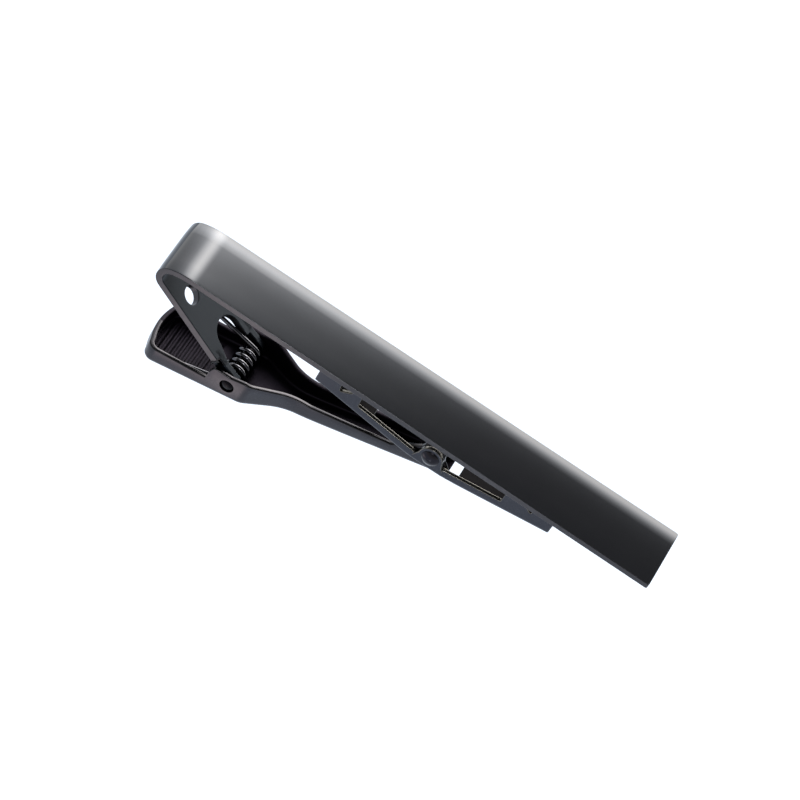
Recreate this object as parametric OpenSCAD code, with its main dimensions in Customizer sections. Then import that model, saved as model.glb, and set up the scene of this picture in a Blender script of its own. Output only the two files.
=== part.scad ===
// Tie clip with a spring lever: a folded face bar, a thumb lever on a pin, a torsion spring,
// and a gripper foot that swivels on a rivet at the end of the lever.
// The origin is the centre of the front face, +Z points out of that face,
// and +X runs from the fold to the free end. Millimetres and degrees, drawn closed.

/* [Face bar] */
// Length of the bar, from the outside of the fold to the free end
bar_l = 58; // [54:0.5:64]
// Width of the bar
bar_w = 7.9; // [7.8:0.1:9]
// Thickness of the bar's strip
bar_t = 0.8; // [0.6:0.05:1]
// Outside radius of the tight fold
fold_r = 1.75; // [1.5:0.05:2.1]
// Radius of the gentle lead-in before the fold
lead_r = 7; // [5:0.5:9]
// Angle that the lead-in turns through
lead_angle = 19; // [14:1:22]
// Angle between the front face and the return leg
leg_angle = 32.5; // [31:0.5:35]
// Length of the return leg at full width, from the end of the fold
leg_l = 10.1; // [9.5:0.05:11]
// Radius of the hang hole in the return leg
hang_hole_r = 1; // [0.8:0.05:1.3]
// Distance of the hang hole from the end of the fold
hang_hole_reach = 3.35; // [3:0.05:4]
// Distance of the hang hole from the middle of the bar
hang_hole_side = 1.35; // [0.8:0.05:1.6]
// Gap between the side of the slot and the end of the spring that passes it
slot_gap = 0.1; // [0.05:0.01:0.2]
// Length of the slot, from its round end to the end of the full width
slot_l = 2.5; // [2:0.1:3]

/* [Pin lugs] */
// Gap between a lug and the lever's ear beside it
lug_side_gap = 0.15; // [0.1:0.05:0.25]
// Thickness of a lug
lug_t = 0.7; // [0.6:0.05:0.75]
// Radius of a lug round the pin
lug_r = 1.1; // [1:0.05:1.15]
// Length of the narrow tab behind the lugs
tab_l = 1.2; // [1:0.1:1.5]
// Distance of the pin from the end of the full width
pin_reach = 3.1; // [2.9:0.05:3.4]
// Distance of the pin below the outside of the return leg
pin_drop = 0.07; // [0:0.01:0.15]

/* [Pivot pin] */
// Radius of the pivot pin
pin_r = 0.75; // [0.65:0.01:0.78]
// Height of the domed end of the pin
pin_dome_h = 0.25; // [0.15:0.05:0.35]
// Running clearance of the lever on the pin, on the radius
pin_clearance = 0.06; // [0.03:0.01:0.09]

/* [Lever] */
// Thickness of the lever's sheet
lever_t = 0.5; // [0.4:0.02:0.55]
// Width of the thumb pad and of the ears
pad_w = 7.6; // [7.4:0.05:7.8]
// Width of the narrow arm
arm_w = 3.6; // [3.3:0.05:3.65]
// Distance from the pin to the tip of the thumb pad
pad_reach = 9.6; // [9.2:0.05:10]
// Angle between the thumb pad's floor and the front face
pad_angle = 11.8; // [9:0.2:14]
// Distance of the pad's outside below the pin
floor_drop = 2; // [1.85:0.01:2.1]
// Height of the pad's rim at its tip
rim_tip_h = 2.4; // [1.8:0.1:2.6]
// Height of the pad's rim beside the ears
rim_ear_h = 1.8; // [1.4:0.05:1.9]
// Radius of the ears round the pin
ear_r = 2.3; // [2.1:0.05:2.5]
// Height of the ears above the pin
ear_rise = 1.35; // [1.2:0.05:1.45]
// Height of the shoulder above the pin, where the channel narrows
shoulder_rise = 1.75; // [1.5:0.05:1.9]
// Distance from the pin to the start of the narrowing
neck_reach = 1.5; // [1.3:0.05:1.7]
// Distance from the pin to the end of the shoulder
shoulder_reach = 4.8; // [4.4:0.1:5.2]
// Distance from the pin to the bend between pad and arm
bend_reach = 8.2; // [7.8:0.1:9]
// Height of the walls at that bend
bend_wall_h = 2.3; // [2:0.1:2.5]
// Height of the arm's walls at the foot
arm_wall_h = 1.75; // [1.4:0.05:1.8]
// Slant of the straight stretch where the channel narrows
neck_angle = 27; // [24:1:30]
// Radius of the turn into the narrowing
neck_out_r = 2; // [1.6:0.1:2.4]
// Radius of the turn out of the narrowing
neck_in_r = 6; // [5:0.1:7]
// Radius of the pad's rounded corners
pad_corner_r = 1.3; // [1:0.1:1.8]
// Bow of the pad's tip
pad_bow = 0.4; // [0.2:0.05:0.6]
// Number of pressed ribs across the pad
rib_count = 9; // [4:1:9]
// Spacing of the ribs
rib_pitch = 0.68; // [0.6:0.01:0.7]
// Height that a rib stands proud
rib_h = 0.12; // [0.06:0.01:0.15]
// Radius of a rib
rib_r = 0.3; // [0.25:0.01:0.33]
// Distance from the pad's tip to the first rib
rib_start = 1.3; // [1.2:0.05:1.5]

/* [Gripper foot] */
// Length of the foot behind the rivet
foot_back_l = 14; // [13:0.1:14.5]
// Length of the foot in front of the rivet
foot_front_l = 13.9; // [13:0.1:15]
// Width of the foot
foot_w = 4.8; // [4.75:0.05:5.2]
// Thickness of the foot's sheet
foot_t = 0.5; // [0.4:0.02:0.52]
// Depth of the foot at its ends
foot_end_h = 3.3; // [3:0.05:3.5]
// Depth of the foot at its middle
foot_mid_h = 5.2; // [5.1:0.05:5.5]
// Half length of the level stretch at the middle
foot_level_l = 2; // [1.5:0.1:2.5]
// Height of the rail along each window
rail_h = 1.3; // [1:0.05:1.4]
// Length of the rear jaw
rear_jaw_l = 5.1; // [4.8:0.1:5.6]
// Length of the front jaw
front_jaw_l = 5.7; // [5.2:0.1:6.2]
// Distance of the rear notch from the rear end
rear_notch_start = 2.4; // [2.2:0.1:2.6]
// Length of the rear notch
rear_notch_l = 2.2; // [1.6:0.1:2.3]
// Depth of the rear notch
rear_notch_h = 2.4; // [1.6:0.1:2.5]
// Distance of the front notch from the front end
front_notch_start = 2.3; // [2:0.1:2.6]
// Length of the front notch
front_notch_l = 1.4; // [1:0.1:1.6]
// Depth of the front notch
front_notch_h = 2; // [1.2:0.1:2.2]
// Length of the cut-out in the base behind the rivet
cutout_back_l = 7.1; // [6.8:0.1:7.6]
// Length of the cut-out in the base in front of the rivet
cutout_front_l = 3.4; // [3.2:0.1:4]
// Gap between the jaws and the back of the bar when closed
closed_gap = 0.05; // [0.02:0.01:0.1]

/* [Foot rivet] */
// Distance from the pin to the rivet
rivet_reach = 21.1; // [20.8:0.1:22]
// Distance of the rivet below the jaws' edges
rivet_drop = 3.4; // [3.2:0.05:3.5]
// Radius of the rivet's shank
rivet_r = 0.6; // [0.5:0.02:0.66]
// Radius of the rivet's head
rivet_head_r = 1.05; // [0.95:0.05:1.2]
// Height of the rivet's head
rivet_head_h = 0.4; // [0.3:0.05:0.5]
// Running clearance of the foot on the rivet, on the radius
rivet_clearance = 0.05; // [0.03:0.01:0.08]
// Gap between a rivet head and the foot
head_gap = 0.04; // [0.02:0.01:0.08]
// Radius of the ears of foot and arm round the rivet
rivet_ear_r = 1.35; // [1.25:0.05:1.4]
// Height of the arm's floor below the rivet, to its outside
arm_drop = 2.7; // [2.6:0.05:2.8]
// Length of the arm past the rivet
arm_nose_l = 2.3; // [2:0.1:2.5]
// Height of the arm's walls at its nose
arm_nose_h = 0.9; // [0.6:0.05:1.1]

/* [Torsion spring] */
// Diameter of the spring's wire
wire_d = 0.4; // [0.34:0.01:0.4]
// Radius of the coil, to the middle of the wire
coil_r = 1.1; // [1.08:0.01:1.13]
// Gap between the coil's near end and the lug there
coil_near_gap = 0.05; // [0.02:0.01:0.05]
// Gap between the coil's far end and the lug there
coil_far_gap = 0.65; // [0.59:0.01:0.65]
// Number of whole curls
coil_curls = 4; // [2:1:4]
// Length of the straight end that lies in the pad
pad_tail_l = 5.6; // [4.5:0.1:6]
// Length of the other end past the edge of the slot
leg_tail_l = 1.2; // [0.8:0.1:1.6]
// Gap between the other end and the return leg
tail_gap = 0.05; // [0.03:0.01:0.1]

/* [Hidden] */
$fn = 96;
// Overrun of every cut past the metal that it cuts
over = 1;

// The lugs stand inside the lever's ears, and the coil between the lugs
lug_w = pad_w - 2 * (lever_t + lug_side_gap);
lug_inside = lug_w / 2 - lug_t;
coil_near_y = -(lug_inside - coil_near_gap - wire_d / 2);
coil_far_y = lug_inside - coil_far_gap - wire_d / 2;
slot_w = 2 * (coil_far_y + wire_d / 2 + slot_gap);

// Centres of the lead-in and of the fold
lead_x = -bar_l / 2 + fold_r + (lead_r - fold_r) * sin(lead_angle);
fold_x = -bar_l / 2 + fold_r;
fold_z = -lead_r + (lead_r - fold_r) * cos(lead_angle);

// Along the return leg, s runs from the end of the fold and q runs outwards from the fold's centre
function leg_point(s, q) = [
    fold_x + s * cos(leg_angle) - q * sin(leg_angle),
    fold_z - s * sin(leg_angle) - q * cos(leg_angle)
];

pin_s = leg_l + pin_reach;
pin_q = fold_r + pin_drop;
pivot = leg_point(pin_s, pin_q);
slot_s = leg_l - slot_l + slot_w / 2;

// The rivet hangs from the closed foot, and the arm runs to it
jaw_z = -bar_t - closed_gap;
rivet = [pivot[0] + rivet_reach, jaw_z - rivet_drop];

// Outside of the lever's floor: one slope along the pad and another along the arm
bend_x = pivot[0] + bend_reach;
bend_z = pivot[1] - floor_drop + bend_reach * tan(pad_angle);
arm_slope = (rivet[1] - arm_drop - bend_z) / (rivet[0] - bend_x);
function floor_z(x) = x < bend_x
    ? pivot[1] - floor_drop + (x - pivot[0]) * tan(pad_angle)
    : bend_z + (x - bend_x) * arm_slope;
tip_x = pivot[0] - pad_reach;
nose_x = rivet[0] + arm_nose_l;
ear_x = pivot[0] - ear_r;
shoulder_x = pivot[0] + shoulder_reach;
arm_wall_x = rivet[0] - arm_drop - rivet_ear_r;

// Outside of the foot's base: level at the middle and rising to both ends
foot_back_x = rivet[0] - foot_back_l;
foot_front_x = rivet[0] + foot_front_l;
function base_z(x) = let (
        reach = x < rivet[0] ? foot_back_l : foot_front_l,
        from_level = max(0, abs(x - rivet[0]) - foot_level_l)
    ) jaw_z - foot_mid_h + (foot_mid_h - foot_end_h) * from_level / (reach - foot_level_l);

// A point at radius r and angle a round a centre
function polar(centre, r, a) = centre + r * [cos(a), sin(a)];

// Points along an arc
function arc(centre, r, a0, a1, steps) =
    [for (i = [0:steps]) polar(centre, r, a0 + (a1 - a0) * i / steps)];

// A side view, drawn in X and Z, given a width across the clip
module across(width) {
    rotate([90, 0, 0]) linear_extrude(width, center = true) children();
}

// A spherical cap that stands on Z = 0
module dome(r, h) {
    sphere_r = (r * r + h * h) / (2 * h);
    intersection() {
        translate([0, 0, h - sphere_r]) sphere(sphere_r);
        cylinder(h = h, r = r);
    }
}

// Carries its children to the return leg, with X along it and Z towards the face
module on_leg() {
    translate([fold_x, 0, fold_z]) rotate([0, leg_angle, 0]) children();
}

// One face of the strip, at a depth under its outside: flat, lead-in, fold and return leg
function strip_face(depth) = concat(
    [[bar_l / 2, -depth]],
    arc([lead_x, -lead_r], lead_r - depth, 90, 90 + lead_angle, 4),
    arc([fold_x, fold_z], fold_r - depth, 90 + lead_angle, 270 - leg_angle, 24),
    [leg_point(leg_l, fold_r - depth)]
);

module bar_profile() {
    inside = strip_face(bar_t);
    polygon(concat(strip_face(0), [for (i = [len(inside) - 1:-1:0]) inside[i]]));
}

// One lug in side view, drawn along the leg
module lug_profile() {
    polygon([[leg_l - bar_t, -fold_r], [leg_l - bar_t, bar_t - fold_r], [leg_l + tab_l, bar_t - fold_r],
             [pin_s, lug_r - pin_q], [pin_s, -lug_r - pin_q]]);
    translate([pin_s, -pin_q]) circle(lug_r);
}

module face_bar() {
    color("#4a4d52") difference() {
        union() {
            across(bar_w) bar_profile();
            on_leg() {
                translate([leg_l - bar_t, -lug_w / 2, -fold_r]) cube([tab_l + bar_t, lug_w, bar_t]);
                for (side = [-1, 1])
                    translate([0, side * (lug_w - lug_t) / 2, 0]) across(lug_t) lug_profile();
            }
        }
        on_leg() {
            // Slot for the spring, with a round end
            translate([slot_s, 0, -fold_r - over]) cylinder(h = bar_t + 2 * over, d = slot_w);
            translate([slot_s, -slot_w / 2, -fold_r - over])
                cube([leg_l + tab_l + over - slot_s, slot_w, bar_t + 2 * over]);
            translate([hang_hole_reach, -hang_hole_side, -fold_r - over])
                cylinder(h = bar_t + 2 * over, r = hang_hole_r);
            // Bore through both lugs
            translate([pin_s, 0, -pin_q]) rotate([90, 0, 0])
                cylinder(h = lug_w + 2 * over, r = pin_r, center = true);
        }
    }
}

module pivot_pin() {
    dome_r = (pin_r * pin_r + pin_dome_h * pin_dome_h) / (2 * pin_dome_h);
    color("#5b5e63") translate([pivot[0], 0, pivot[1]]) rotate([90, 0, 0]) intersection() {
        cylinder(h = pad_w, r = pin_r, center = true);
        union() {
            cylinder(h = pad_w - 2 * pin_dome_h, r = dome_r, center = true);
            for (side = [-1, 1]) translate([0, 0, side * (pad_w / 2 - dome_r)]) sphere(dome_r);
        }
    }
}

// Lever seen from the side
module lever_side() {
    polygon([
        [tip_x, floor_z(tip_x)],
        [bend_x, bend_z],
        [nose_x, floor_z(nose_x)],
        [nose_x, floor_z(nose_x) + arm_nose_h],
        [rivet[0] + rivet_ear_r, rivet[1]],
        [rivet[0] - rivet_ear_r, rivet[1]],
        [arm_wall_x, floor_z(arm_wall_x) + arm_wall_h],
        [bend_x, bend_z + bend_wall_h],
        [shoulder_x, pivot[1] + shoulder_rise],
        [pivot[0] + neck_reach, pivot[1] + shoulder_rise],
        [pivot[0], pivot[1] + ear_rise],
        each arc(pivot, ear_r, 180 - asin(ear_rise / ear_r), 180, 5),
        [ear_x, floor_z(ear_x) + rim_ear_h],
        [tip_x, floor_z(tip_x) + rim_tip_h]
    ]);
    translate(rivet) circle(rivet_ear_r);
}

// Space inside the lever seen from the side, over its floor
module lever_side_inside() {
    polygon([
        [tip_x, floor_z(tip_x) + lever_t],
        [bend_x, bend_z + lever_t],
        [nose_x + over, floor_z(nose_x + over) + lever_t],
        [nose_x + over, 0],
        [tip_x, 0]
    ]);
}

// Half of the lever seen from above, drawn in by an inset for its inside
module lever_plan_half(inset) {
    half = pad_w / 2;
    neck = [pivot[0] + neck_reach, half - neck_out_r];
    slant = neck_angle;
    // Straight stretch between the two turns, so that the walls end at the arm's width
    drop = (pad_w - arm_w) / 2 - (neck_out_r + neck_in_r) * (1 - cos(slant));
    run = (neck_out_r + neck_in_r) * sin(slant) + drop / tan(slant);
    out_turn = [neck[0] + run, arm_w / 2 + neck_in_r];
    // The tip bows out by pad_bow over its straight part
    corner_y = half - pad_corner_r;
    corner = [tip_x + pad_bow + pad_corner_r, corner_y];
    bow_a = atan(2 * pad_bow / corner_y);
    end_x = nose_x + inset + over;
    polygon(concat(
        [for (share = [0:0.25:0.75]) [tip_x + inset + pad_bow * share * share, corner_y * share]],
        arc(corner, pad_corner_r - inset, 180 - bow_a, 90, 8),
        arc(neck, neck_out_r - inset, 90, 90 - slant, 6),
        arc(out_turn, neck_in_r + inset, 270 - slant, 270, 8),
        [[end_x, arm_w / 2 - inset], [end_x, 0]]
    ));
}

module lever_plan(inset) {
    for (side = [0, 1]) mirror([0, side]) lever_plan_half(inset);
}

module upright() {
    deep = pad_reach + floor_drop - pivot[1];
    translate([0, 0, -deep]) linear_extrude(deep) children();
}

module ribs(lift) {
    for (i = [0:rib_count - 1]) {
        x = tip_x + rib_start + i * rib_pitch;
        translate([x, 0, floor_z(x) + lift + rib_r - rib_h]) rotate([90, 0, 0])
            cylinder(h = pad_w - 2 * pad_corner_r, r = rib_r, center = true);
    }
}

module lever() {
    color("#54575c") difference() {
        union() {
            difference() {
                intersection() {
                    across(pad_w) lever_side();
                    upright() lever_plan(0);
                }
                intersection() {
                    across(pad_w) lever_side_inside();
                    upright() lever_plan(lever_t);
                }
            }
            ribs(0);
        }
        ribs(lever_t);
        translate([pivot[0], 0, pivot[1]]) rotate([90, 0, 0])
            cylinder(h = pad_w + 2 * over, r = pin_r + pin_clearance, center = true);
        translate([rivet[0], 0, rivet[1]]) rotate([90, 0, 0])
            cylinder(h = pad_w, r = rivet_r, center = true);
    }
}

// One notch between the teeth of a jaw, with a steep side and a slanting side
module notch(x, length, depth, facing) {
    steep_share = 0.15;
    knee_share = 0.68;
    knee_depth_share = 0.72;
    translate([x, jaw_z]) polygon([
        [0, over],
        [0, 0],
        [facing * length * steep_share, -depth],
        [facing * length * knee_share, -depth * knee_depth_share],
        [facing * length, 0],
        [facing * length, over]
    ]);
}

module foot_side() {
    rear_window_x = foot_back_x + rear_jaw_l;
    front_window_x = foot_front_x - front_jaw_l;
    back_level_x = rivet[0] - foot_level_l;
    front_level_x = rivet[0] + foot_level_l;
    difference() {
        polygon([
            [foot_back_x, base_z(foot_back_x)],
            [back_level_x, base_z(back_level_x)],
            [front_level_x, base_z(front_level_x)],
            [foot_front_x, base_z(foot_front_x)],
            [foot_front_x, jaw_z],
            [front_window_x, jaw_z],
            [front_window_x, base_z(front_window_x) + rail_h],
            [front_level_x, base_z(front_level_x) + rail_h],
            [back_level_x, base_z(back_level_x) + rail_h],
            [rear_window_x, base_z(rear_window_x) + rail_h],
            [rear_window_x, jaw_z],
            [foot_back_x, jaw_z]
        ]);
        notch(foot_back_x + rear_notch_start, rear_notch_l, rear_notch_h, 1);
        notch(foot_front_x - front_notch_start, front_notch_l, front_notch_h, -1);
    }
    // Ear round the rivet, down to the rail
    translate(rivet) circle(rivet_ear_r);
    translate([rivet[0] - rivet_ear_r, base_z(rivet[0])])
        square([2 * rivet_ear_r, rivet[1] - base_z(rivet[0])]);
}

module gripper_foot() {
    channel_w = foot_w - 2 * foot_t;
    base_top = foot_t / cos(atan((foot_mid_h - foot_end_h) / (foot_back_l - foot_level_l)));
    color("#505358") difference() {
        across(foot_w) foot_side();
        across(channel_w) polygon([
            [foot_back_x - over, base_z(foot_back_x - over) + base_top],
            [rivet[0] - foot_level_l, base_z(rivet[0]) + base_top],
            [rivet[0] + foot_level_l, base_z(rivet[0]) + base_top],
            [foot_front_x + over, base_z(foot_front_x + over) + base_top],
            [foot_front_x + over, jaw_z + over],
            [foot_back_x - over, jaw_z + over]
        ]);
        // Opening in the base that lets the arm in
        translate([rivet[0] - cutout_back_l, -channel_w / 2, base_z(rivet[0]) - over])
            cube([cutout_back_l + cutout_front_l, channel_w, foot_mid_h]);
        translate([rivet[0], 0, rivet[1]]) rotate([90, 0, 0])
            cylinder(h = foot_w + 2 * over, r = rivet_r + rivet_clearance, center = true);
    }
}

module foot_rivet() {
    head_y = foot_w / 2 + head_gap;
    color("#5b5e63") translate([rivet[0], 0, rivet[1]]) {
        rotate([90, 0, 0]) cylinder(h = 2 * head_y + rivet_head_h, r = rivet_r, center = true);
        for (side = [-1, 1])
            rotate([-90 * side, 0, 0]) translate([0, 0, head_y]) dome(rivet_head_r, rivet_head_h);
    }
}

// The spring's path starts along the pad, winds round the pin and ends under the return leg
pad_tail_a = pad_angle - 90;
// It passes the slot's round end where the wire's outer side meets it
tail_outside = coil_far_y + wire_d / 2;
tail_pass_s = slot_s - sqrt(slot_w * slot_w / 4 - tail_outside * tail_outside);
slot_end = leg_point(tail_pass_s, fold_r + wire_d / 2 + tail_gap) - pivot;
slot_end_l = sqrt(norm(slot_end) * norm(slot_end) - coil_r * coil_r);
leg_tail_a = atan2(slot_end[1], slot_end[0]) - atan2(slot_end_l, coil_r);
coil_turn = 360 * coil_curls + leg_tail_a - pad_tail_a;
coil_steps = ceil(coil_turn / 45);
function coil_point(step) = let (
        a = pad_tail_a + coil_turn * step / coil_steps,
        p = polar(pivot, coil_r, a)
    ) [p[0], coil_near_y + (coil_far_y - coil_near_y) * step / coil_steps, p[1]];
// A point along a straight end, which leaves the coil square to its radius
function tail_point(step, a, l) = coil_point(step) + l * [cos(a), 0, sin(a)];
tail_steps = 4;
spring_path = concat(
    [for (i = [tail_steps:-1:1]) tail_point(0, pad_tail_a - 90, pad_tail_l * i / tail_steps)],
    [for (i = [0:coil_steps]) coil_point(i)],
    [for (i = [1:tail_steps])
        tail_point(coil_steps, leg_tail_a + 90, (slot_end_l + leg_tail_l) * i / tail_steps)]
);

function unit(v) = v / norm(v);

// Six corners of the wire round one point of a path
function wire_ring(path, i, sides) = let (
        ahead = unit(path[min(i + 1, len(path) - 1)] - path[max(i - 1, 0)]),
        side_a = unit(cross(ahead, [0, 1, 0])),
        side_b = cross(ahead, side_a)
    ) [for (k = [0:sides - 1])
        path[i] + wire_d / 2 * (cos(360 * k / sides) * side_a + sin(360 * k / sides) * side_b)];

// One unbroken tube along a path
module wire(path, sides) {
    rings = [for (i = [0:len(path) - 1]) wire_ring(path, i, sides)];
    last = (len(path) - 1) * sides;
    polyhedron(
        points = [for (ring = rings) each ring],
        faces = concat(
            [[for (k = [0:sides - 1]) k]],
            [for (i = [0:len(path) - 2], k = [0:sides - 1]) each [
                [i * sides + k, (i + 1) * sides + k, (i + 1) * sides + (k + 1) % sides],
                [i * sides + k, (i + 1) * sides + (k + 1) % sides, i * sides + (k + 1) % sides]
            ]],
            [[for (k = [sides - 1:-1:0]) last + k]]
        )
    );
}

// Least gap of the spring to itself, between points more than half a curl apart
least_gap = min([for (i = [0:len(spring_path) - 1], j = [i + 5:1:len(spring_path) - 1])
    norm(spring_path[i] - spring_path[j])]) - wire_d;

module torsion_spring() {
    echo(least_gap = least_gap);
    color("#6a6d72") wire(spring_path, 6);
}

face_bar();
pivot_pin();
torsion_spring();
lever();
gripper_foot();
foot_rivet();
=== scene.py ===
from bisect import bisect_right
from math import asin, atan, atan2, ceil, cos, degrees, hypot, pi, radians, sin, sqrt, tan

import bmesh
import bpy
from mathutils import Matrix, Vector


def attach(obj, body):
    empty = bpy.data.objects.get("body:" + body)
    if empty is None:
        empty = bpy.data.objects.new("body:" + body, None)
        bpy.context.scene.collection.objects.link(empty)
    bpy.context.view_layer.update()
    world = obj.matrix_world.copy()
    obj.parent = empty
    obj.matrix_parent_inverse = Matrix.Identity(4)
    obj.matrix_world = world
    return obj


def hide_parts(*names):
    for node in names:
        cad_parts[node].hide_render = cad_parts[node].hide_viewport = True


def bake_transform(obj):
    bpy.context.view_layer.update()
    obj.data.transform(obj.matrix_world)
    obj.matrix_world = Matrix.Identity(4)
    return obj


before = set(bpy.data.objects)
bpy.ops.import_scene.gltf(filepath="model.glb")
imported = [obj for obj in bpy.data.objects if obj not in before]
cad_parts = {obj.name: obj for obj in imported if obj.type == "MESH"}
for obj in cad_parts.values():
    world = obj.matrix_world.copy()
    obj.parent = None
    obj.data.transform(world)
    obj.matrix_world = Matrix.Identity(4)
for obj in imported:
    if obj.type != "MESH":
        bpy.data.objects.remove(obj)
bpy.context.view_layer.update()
mm = 0.001  # every size below is in millimetres, and meshes are scaled once, when they are made


def addObject(name, data):
    made = bpy.data.objects.new(name, data)
    bpy.context.collection.objects.link(made)
    return made


def settled(holder):
    # the mesh that an object ends up with, once its curve or its modifiers are worked in
    bpy.context.view_layer.update()
    return bpy.data.meshes.new_from_object(holder.evaluated_get(bpy.context.evaluated_depsgraph_get()))


# camera, matched to the photograph: the bar runs 33.5 degrees down to the right

shot = {
    "tilt": 41.0,       # how far the view leans off the face's normal, towards the near edge
    "roll": 33.5,
    "distance": 470.5,
    "aim": (-1.74, -1.77, 0.0),
    "lens": 212.9,      # long lens, so the bar hardly tapers
    "sensor": 36.0,
    "clip": (0.01, 10),  # metres
}


def makeCamera(shot):
    tilt, roll = radians(shot["tilt"]), radians(shot["roll"])
    towards = Vector((0, -sin(tilt), cos(tilt)))
    level = Vector((1, 0, 0))
    upright = towards.cross(level)
    right = level * cos(roll) + upright * sin(roll)
    up = upright * cos(roll) - level * sin(roll)
    camera = addObject("camera", bpy.data.cameras.new("camera"))
    place = (Vector(shot["aim"]) + towards * shot["distance"]) * mm
    camera.matrix_world = Matrix.Translation(place) @ Matrix((right, up, towards)).transposed().to_4x4()
    camera.data.lens = shot["lens"]
    camera.data.sensor_width = shot["sensor"]
    camera.data.clip_start, camera.data.clip_end = shot["clip"]
    bpy.context.scene.camera = camera


makeCamera(shot)
print("camera set")


# tools for sheet metal: cut a flat blank, round its edges, fold it, keep clean normals

def arcPoints(centre, radius, start, end, steps):
    turn = (end - start) / steps
    return [(centre[0] + radius * cos(radians(start + turn * i)),
             centre[1] + radius * sin(radians(start + turn * i))) for i in range(steps + 1)]


def roundCorners(points, radius, steps=4, straight=86, mostOfEdge=0.45):
    # fillets every corner of a closed outline that isn't nearly straight, with a smaller radius on a short edge
    made = []
    for i, here in enumerate(points):
        here, back, ahead = Vector(here), Vector(points[i - 1]), Vector(points[(i + 1) % len(points)])
        toBack, toAhead = back - here, ahead - here
        half = toBack.angle(toAhead) / 2
        if half > radians(straight):
            made.append(tuple(here))
            continue
        reach = min(radius / tan(half), toBack.length * mostOfEdge, toAhead.length * mostOfEdge)
        first, last = here + toBack.normalized() * reach, here + toAhead.normalized() * reach
        for k in range(steps + 1):
            share = k / steps
            made.append(tuple(first * (1 - share) ** 2 + here * 2 * share * (1 - share) + last * share ** 2))
    return made


def splitLong(points, longest, closed=True):
    # adds points where two lie further apart than longest
    made = []
    for here, ahead in zip(points, points[1:] + points[:1] if closed else points[1:]):
        parts = max(1, ceil(hypot(ahead[0] - here[0], ahead[1] - here[1]) / longest))
        made += [(here[0] + (ahead[0] - here[0]) * k / parts, here[1] + (ahead[1] - here[1]) * k / parts)
                 for k in range(parts)]
    return made if closed else made + points[-1:]


def cutBlank(outlines, thickness, arris, cutsX=(), cutsY=(), touching=1e-4):
    # a flat curve with a round bevel gives the blank, and the cuts give it edges to fold along
    flat = bpy.data.curves.new("blank", "CURVE")
    flat.dimensions, flat.fill_mode, flat.bevel_resolution = "2D", "BOTH", 2
    flat.extrude, flat.bevel_depth, flat.offset = thickness / 2 - arris, arris, -arris
    for points in outlines:
        line = flat.splines.new("POLY")
        line.points.add(len(points) - 1)
        for point, (x, y) in zip(line.points, points):
            point.co = (x, y, 0, 1)
        line.use_cyclic_u = True
    holder = addObject("blank", flat)
    mesh = settled(holder)
    bpy.data.objects.remove(holder)
    blank = bmesh.new()
    blank.from_mesh(mesh)
    bpy.data.meshes.remove(mesh)
    bmesh.ops.remove_doubles(blank, verts=blank.verts, dist=touching)
    bmesh.ops.recalc_face_normals(blank, faces=blank.faces)
    for normal, cuts in ((Vector((1, 0, 0)), cutsX), (Vector((0, 1, 0)), cutsY)):
        for at in cuts:
            bmesh.ops.bisect_plane(blank, geom=[*blank.verts, *blank.edges, *blank.faces], dist=touching,
                                   plane_co=normal * at, plane_no=normal)
    blank.normal_update()
    return blank


def blankNormals(blank, thickness, arris, sharp=35, flat=0.999, leastLean=0.05):
    # exact normals: flat on both faces, square on the sides and turning over the arris between them
    limit = cos(radians(sharp))
    normals = []
    for face in blank.faces:
        up = face.normal.z
        if abs(up) > flat:
            normals += [Vector((0, 0, 1 if up > 0 else -1))] * len(face.loops)
            continue
        own = Vector((face.normal.x, face.normal.y, 0)).normalized()
        for loop in face.loops:
            level, z = Vector((0, 0, 0)), loop.vert.co.z
            for other in loop.vert.link_faces:
                side = Vector((other.normal.x, other.normal.y, 0))
                if side.length > leastLean and side.normalized().dot(own) > limit:
                    level += side.normalized() * other.calc_area()
            level = level.normalized() if level.length > 0 else own
            rise = min(1, max(0, (abs(z) - (thickness / 2 - arris)) / arris))
            normals.append(level * sqrt(1 - rise * rise) + Vector((0, 0, rise if z > 0 else -rise)))
    return normals


def foldBlank(blank, thickness, arris, fold, crown=None, lip=0.6):
    # fold(x, y) gives a point of the middle surface and its three directions, and crown lowers the outer face;
    # a facet of the arris belongs to a face while the upright part of its normal is over lip
    normals = blankNormals(blank, thickness, arris)
    blank.verts.index_update()
    points, places = [], []
    for vert in blank.verts:
        x, y, z = vert.co
        middle, alongX, alongY, outward = fold(x, y)
        drop, slope = crown(x, y) if crown and z > 0 else (0, 0)
        points.append(middle + outward * (z - drop * z / (thickness / 2)))
        places.append((alongX, alongY, outward, slope))
    faces, turned, kinds, at = [], [], [], 0
    for face in blank.faces:
        faces.append([loop.vert.index for loop in face.loops])
        # 0 outer face, 1 inner face, 2 sheared side
        kinds.append(0 if face.normal.z > lip else 1 if face.normal.z < -lip else 2)
        for loop in face.loops:
            n = normals[at]
            alongX, alongY, outward, slope = places[loop.vert.index]
            leaned = n.y + slope * max(0, n.z)
            turned.append((alongX * n.x + alongY * leaned + outward * n.z).normalized())
            at += 1
    blank.free()
    return points, faces, turned, kinds


def makePiece(name, parts, materials, body, slot, *nodes):
    # several folded parts become one mesh; each part's faces pick their material by kind
    points, faces, normals, kinds = [], [], [], []
    for part in parts:
        base = len(points)
        points += [point * mm for point in part[0]]
        faces += [[base + i for i in face] for face in part[1]]
        normals += part[2]
        kinds += part[3]
    mesh = bpy.data.meshes.new(name)
    mesh.from_pydata(points, [], faces)
    for material in materials:
        mesh.materials.append(material)
    mesh.polygons.foreach_set("material_index", kinds)
    mesh.polygons.foreach_set("use_smooth", [True] * len(faces))
    mesh.update()
    mesh.normals_split_custom_set(normals)
    addPiece(name, mesh, body, slot, *nodes)


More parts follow.
